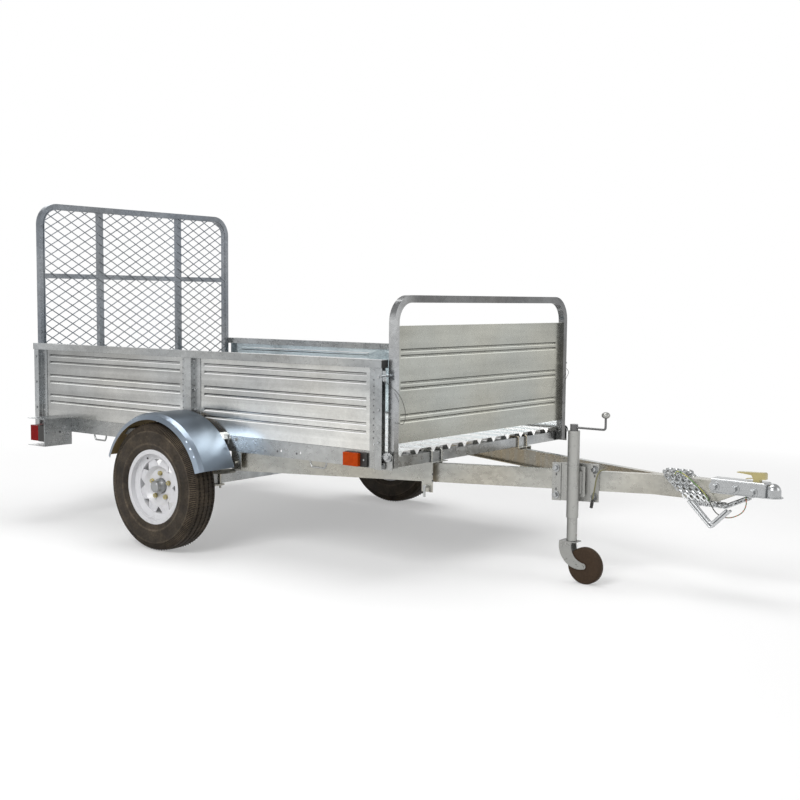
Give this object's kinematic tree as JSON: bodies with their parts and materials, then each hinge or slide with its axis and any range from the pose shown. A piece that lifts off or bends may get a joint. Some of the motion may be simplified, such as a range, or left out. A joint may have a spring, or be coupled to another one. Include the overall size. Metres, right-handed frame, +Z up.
{
  "type": "utility trailer",
  "caption": "Single-axle galvanised utility trailer with ribbed sides, hooped front gate, mesh ramp tailgate, tilting bed, drawbar and jack.",
  "frame": {"origin": "floor level, on the centre line, halfway between the tailgate's rear face and the coupler's nose", "axes": "+X forward to the coupler, +Y left, +Z up"},
  "size_m": [3.6802, 1.83, 1.603],
  "materials": {
    "galvanised": "hot-dip galvanised, spangled",
    "bright_zinc": "bright zinc plate",
    "yellow_zinc": "yellow zinc plate",
    "hub_zinc": "zinc plate",
    "chain_zinc": "zinc plate",
    "silver_paint": "silver enamel",
    "white_rim": "white enamel",
    "tyre_rubber": "rubber",
    "caster_rubber": "rubber",
    "black_plastic": "moulded",
    "amber_lens": "clear moulded",
    "red_lens": "clear moulded",
    "cable_sheath": "vinyl"
  },
  "bodies": {
    "bed": {"side_rails": "galvanised", "crossmembers": "galvanised", "deck_sheet": "galvanised", "posts": "galvanised", "top_rails": "galvanised", "rail_plugs": "black_plastic", "side_panels": "galvanised", "tie_loops": "galvanised", "marker_bases": "black_plastic", "marker_lenses": "amber_lens", "tail_lamp_brackets": "galvanised", "tail_lamp_housings": "black_plastic", "tail_lamp_lenses": "red_lens", "axle_beam": "galvanised", "leaf_springs": "galvanised", "spring_hangers": "galvanised", "spring_clamps": "galvanised", "fender_right": "galvanised", "fender_left": "galvanised", "fender_brackets": "galvanised", "front_gate_hinges": "galvanised", "front_gate_latches": "galvanised", "rear_gate_hinges": "galvanised", "tongue_saddles": "galvanised", "tilt_pins": "galvanised", "tongue_pivots": "galvanised"},
    "drawbar": {"drawbar_right": "galvanised", "drawbar_left": "galvanised", "coupler": "bright_zinc", "coupler_latch": "yellow_zinc", "jack_bracket": "silver_paint", "safety_chains": "chain_zinc", "hook_rods": "chain_zinc", "wiring_lead": "cable_sheath", "lead_connector": "black_plastic"},
    "wheel_right": {"tyre_right": "tyre_rubber", "rim_right": "white_rim", "hub_right": "hub_zinc"},
    "wheel_left": {"tyre_left": "tyre_rubber", "rim_left": "white_rim", "hub_left": "hub_zinc"},
    "front_gate": {"front_gate_hoop": "galvanised", "front_gate_panel": "galvanised"},
    "rear_gate": {"rear_gate_frame": "galvanised", "rear_gate_mesh": "galvanised"},
    "jack": {"jack_tube": "silver_paint", "jack_crank": "silver_paint"},
    "jack_leg": {"jack_leg": "silver_paint"},
    "caster": {"caster_fork": "silver_paint"},
    "jack_wheel": {"jack_wheel": "caster_rubber"}
  },
  "joints": [
    {"name": "wheel_right_spin", "type": "hinge", "parent": "bed", "child": "wheel_right", "pos_m": [-0.66665, -0.845, 0.2865], "axis": [0, 1, 0], "continuous": true},
    {"name": "wheel_left_spin", "type": "hinge", "parent": "bed", "child": "wheel_left", "pos_m": [-0.66665, 0.845, 0.2865], "axis": [0, 1, 0], "continuous": true},
    {"name": "bed_tilt", "type": "hinge", "parent": "bed", "child": "drawbar", "pos_m": [-0.36165, 0, 0.402], "axis": [0, 1, 0], "range_deg": [0, 20]},
    {"name": "front_gate_fold", "type": "hinge", "parent": "bed", "child": "front_gate", "pos_m": [0.49935, 0, 0.498], "axis": [0, 1, 0], "range_deg": [0, 65]},
    {"name": "rear_gate_fold", "type": "hinge", "parent": "bed", "child": "rear_gate", "pos_m": [-1.82365, 0, 0.497], "axis": [0, -1, 0], "range_deg": [0, 115]},
    {"name": "jack_swing", "type": "hinge", "parent": "drawbar", "child": "jack", "pos_m": [1.06135, -0.20696, 0.402], "axis": [-0.3502, 0.9367, 0], "range_deg": [0, 90]},
    {"name": "jack_extend", "type": "slide", "parent": "jack", "child": "jack_leg", "axis": [0, 0, -1], "range_m": [-0.08, 0.12]},
    {"name": "caster_swivel", "type": "hinge", "parent": "jack_leg", "child": "caster", "pos_m": [1.06135, -0.20696, 0.168], "axis": [0, 0, 1], "continuous": true},
    {"name": "jack_wheel_spin", "type": "hinge", "parent": "caster", "child": "jack_wheel", "pos_m": [1.12635, -0.20696, 0.074], "axis": [0, 1, 0], "continuous": true}
  ]
}
